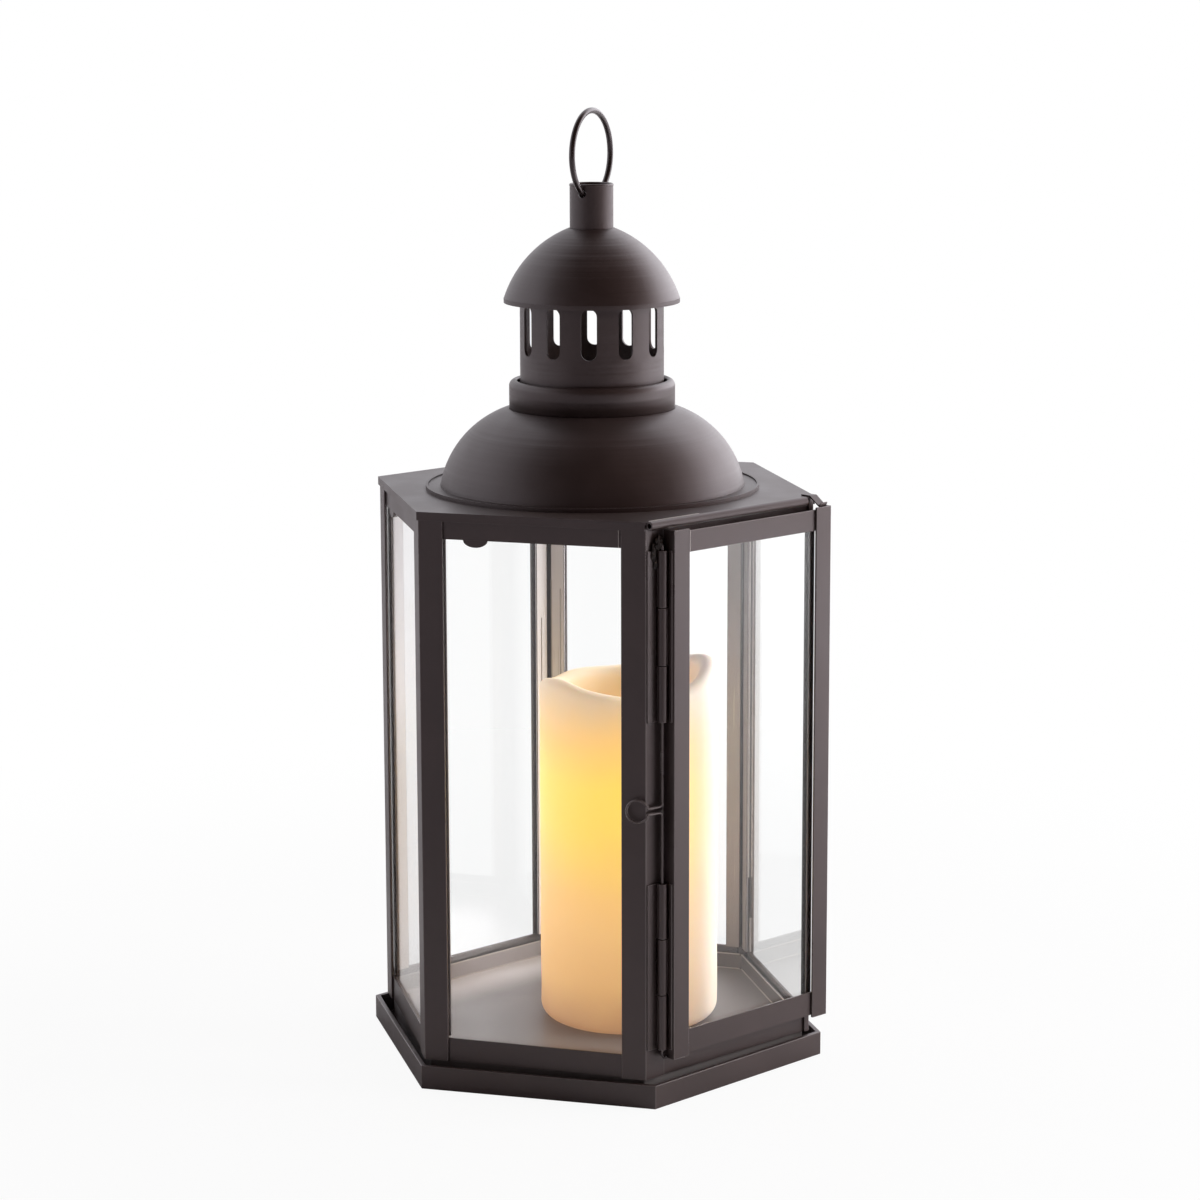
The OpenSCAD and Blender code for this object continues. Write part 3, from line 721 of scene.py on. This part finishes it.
edgeLines("rail_edges", [
    (onFace(face, -corner + 4, depth, height), onFace(face, corner - 4, depth, height), 0.45)
    for face in closedFaces for depth, height in ((lip, 18.05), (lip - 0.05, 11.3))])
edgeLines("post_scratches", [
    upFace(90, -corner + 7.6, lip, 82, 169, 0.35),
    upFace(30, corner - 4.3, lip, 141, 186, 0.4),
    upFace(30, corner - 8.6, lip, 80, 182, 0.4),
    upFace(-30, corner - 10.3, 78.9, 56, 231, 0.4),
    upFace(-30, corner - 10.3, 81.9, 56, 231, 0.4),
    upFace(-30, corner - 9.8, 81.5, 21, 37, 1.0),
])
# painted highlights along the top of the rolled edge, and where the rails meet the posts and the door's stile
edgeLines("roof_edge_highlights", [
    ((-47.8, -84.6, 242.75), (-20.0, -84.6, 242.75), 0.35),
    upFace(-150, 36.7, 83.2, 231.5, 241.5, 0.18),
])
edgeLines("door_edge_highlights", [((-30.1, -90.1, 229.5), (-30.1, -90.1, 238.0), 0.16)], "door")
print("edges made")


def buildLump(centre, size, seed, roughness=0.55):
    def build(shape):
        bmesh.ops.create_icosphere(shape, subdivisions=4, radius=1)
        shift = Vector((seed * 3.7, seed * 1.9, seed * 5.3))
        for vert in shape.verts:
            swell = 1 + roughness * noise.fractal(vert.co * 2.6 + shift, 0.7, 2.1, 4)
            vert.co = Vector(centre) + Vector(
                (vert.co.x * size[0], vert.co.y * size[1], vert.co.z * size[2])) * swell
    return build


hinge = {"x": -41.1 * mm, "y": -85.488 * mm}
# offset from the pin's axis and height, size, and seed of the lumps at the pin's upper end, in mm
lumps = {
    "pin_solder_top": ((-0.9, 0.7, 233.2), (1.9, 1.0, 3.0), 1),
    "pin_solder_side": ((-3.2, 1.4, 230.0), (1.2, 0.6, 3.6), 2),
    "pin_solder_drip": ((-2.4, 1.5, 225.5), (1.0, 0.7, 2.6), 3),
}
for name, (offset, size, seed) in lumps.items():
    centre = Vector((hinge["x"], hinge["y"], 0)) + Vector(offset) * mm
    shapeFrom(name, buildLump(centre, Vector(size) * mm, seed), finishes["solder"], "lantern")


def wirePiece(name, points, radius, body):
    curve = bpy.data.curves.new(name, "CURVE")
    curve.dimensions = "3D"
    curve.bevel_depth = radius
    curve.bevel_resolution = 4
    curve.use_fill_caps = True
    spline = curve.splines.new("BEZIER")
    spline.bezier_points.add(len(points) - 1)
    for knot, place in zip(spline.bezier_points, points):
        knot.co = place
        knot.handle_left_type = knot.handle_right_type = "AUTO"
    piece = bpy.data.objects.new(name, curve)
    bpy.context.scene.collection.objects.link(piece)
    curve.materials.append(finishes["wire"])
    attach(piece, body)
    return piece


# the pin's lower end is bent outward to a short hook
hookPoints = ((0, 0, 22.4), (0.1, -0.2, 20.9), (0.9, -0.9, 20.0), (1.3, -1.5, 20.6))
wirePiece("pin_foot", [Vector((hinge["x"], hinge["y"], 0)) + Vector(point) * mm for point in hookPoints],
          0.58 * mm, "lantern")
print("small pieces made")

studio = {
    "front": (-0.31, -0.71, 0.63),   # the dark side of the room
    "darkest": 0.07,
    "side": (0.95, -0.30, 0.0),      # the brighter side
    "frontFloor": (-0.83, -0.56, 0.0),
    "keyPlace": (1.15, -1.05, 0.70),
    "keySize": 0.9,
    "keyPower": 32.0,
}


def seenDirectly(paint):
    # one for rays of the camera, also where they have passed through glass
    return paint.ray("Is Camera Ray") + paint.ray("Is Transmission Ray")


def makeFloor():
    shape = bmesh.new()
    bmesh.ops.create_circle(shape, cap_ends=True, segments=96, radius=6.0)
    mesh = bpy.data.meshes.new("floor")
    shape.to_mesh(mesh)
    shape.free()
    floor = bpy.data.objects.new("floor", mesh)
    bpy.context.scene.collection.objects.link(floor)
    material, paint = newPaint("paleFloor")
    where = paint.place()
    distance = paint.length(where)
    far, wide = distance.rise(0.2, 0.6), distance.rise(0.25, 1.0)
    cloud = paint.grain(where, 9, 2)
    # the floor is painted grey near the lantern and darker still toward the viewer: painted shade for the
    # metal's reflections and for the light the floor throws back; rays of the camera see it nearly white
    front = paint.dot(where, studio["frontFloor"])
    nearShade = paint.blend(wide, paint.blend(cloud, (0.62, 0.62, 0.62), (0.66, 0.66, 0.66)), (0.96, 0.95, 0.96))
    frontShade = paint.blend(wide, (0.28, 0.27, 0.27), (0.56, 0.54, 0.55))
    tone = paint.blend(front.rise(0.15, 0.5), nearShade, frontShade)
    plain = paint.add("BsdfPrincipled", {}, {"Base Color": tone, "Roughness": 0.9, "Specular IOR Level": 0.1})
    white = paint.add("Emission", {}, {"Color": (1.0, 1.0, 1.0), "Strength": 1.0})
    share = seenDirectly(paint) * (0.93 + far * 0.07)
    paint.finish(paint.add("MixShader", {}, {0: share, 1: plain, 2: white}))
    mesh.materials.append(material)


def makeRoom():
    world = bpy.data.worlds.new("room")
    bpy.context.scene.world = world
    world.use_nodes = True
    paint = Paint(world.node_tree)
    toward = paint.add("TexCoord", output="Generated")
    front = Vector(studio["front"]).normalized()
    facing = paint.dot(toward, tuple(front))
    side = paint.dot(toward, studio["side"])
    shade = facing.rise(0.05, 0.62, 1.0, studio["darkest"]) * side.rise(0.3, 1.0, 1.08, 3.5)
    dusk = facing.rise(0.2, 0.7)
    warm = paint.blend(dusk, (0.97, 0.96, 1.0), (1.0, 0.66, 0.58))
    colour = paint.blend(seenDirectly(paint), warm * shade, (1.0, 1.0, 1.0))
    paint.add("OutputWorld", {}, {"Surface": paint.add("Background", {}, {"Color": colour, "Strength": 1.0})})

    lamp = bpy.data.lights.new("key", "AREA")
    lamp.shape = "SQUARE"
    lamp.size = studio["keySize"]
    lamp.energy = studio["keyPower"]
    key = bpy.data.objects.new("key", lamp)
    bpy.context.scene.collection.objects.link(key)
    key.location = studio["keyPlace"]
    key.visible_glossy = False
    aim = Vector((0, 0, 0.2)) - key.location
    key.rotation_euler = aim.to_track_quat("-Z", "Y").to_euler()


camera = {
    "place": (-0.96064, -1.04258, 0.46474),
    "turn": -42.781, "tilt": 10.847, "roll": -0.171,
    "lens": 101.785,
}


def makeCamera():
    a, e, roll = (math.radians(camera[k]) for k in ("turn", "tilt", "roll"))
    back = Vector((math.sin(a) * math.cos(e), -math.cos(a) * math.cos(e), math.sin(e)))
    right = Vector((0, 0, 1)).cross(back).normalized()
    up = back.cross(right)
    right, up = right * math.cos(roll) + up * math.sin(roll), up * math.cos(roll) - right * math.sin(roll)
    data = bpy.data.cameras.new("camera")
    data.lens = camera["lens"]
    data.sensor_width = 36
    data.clip_start = 0.01
    eye = bpy.data.objects.new("camera", data)
    bpy.context.scene.collection.objects.link(eye)
    turn = Matrix((right, up, back)).transposed().to_4x4()
    eye.matrix_world = Matrix.Translation(camera["place"]) @ turn
    bpy.context.scene.camera = eye


makeFloor()
makeRoom()
makeCamera()
bpy.context.scene.view_settings.view_transform = "Standard"
print("room ready")
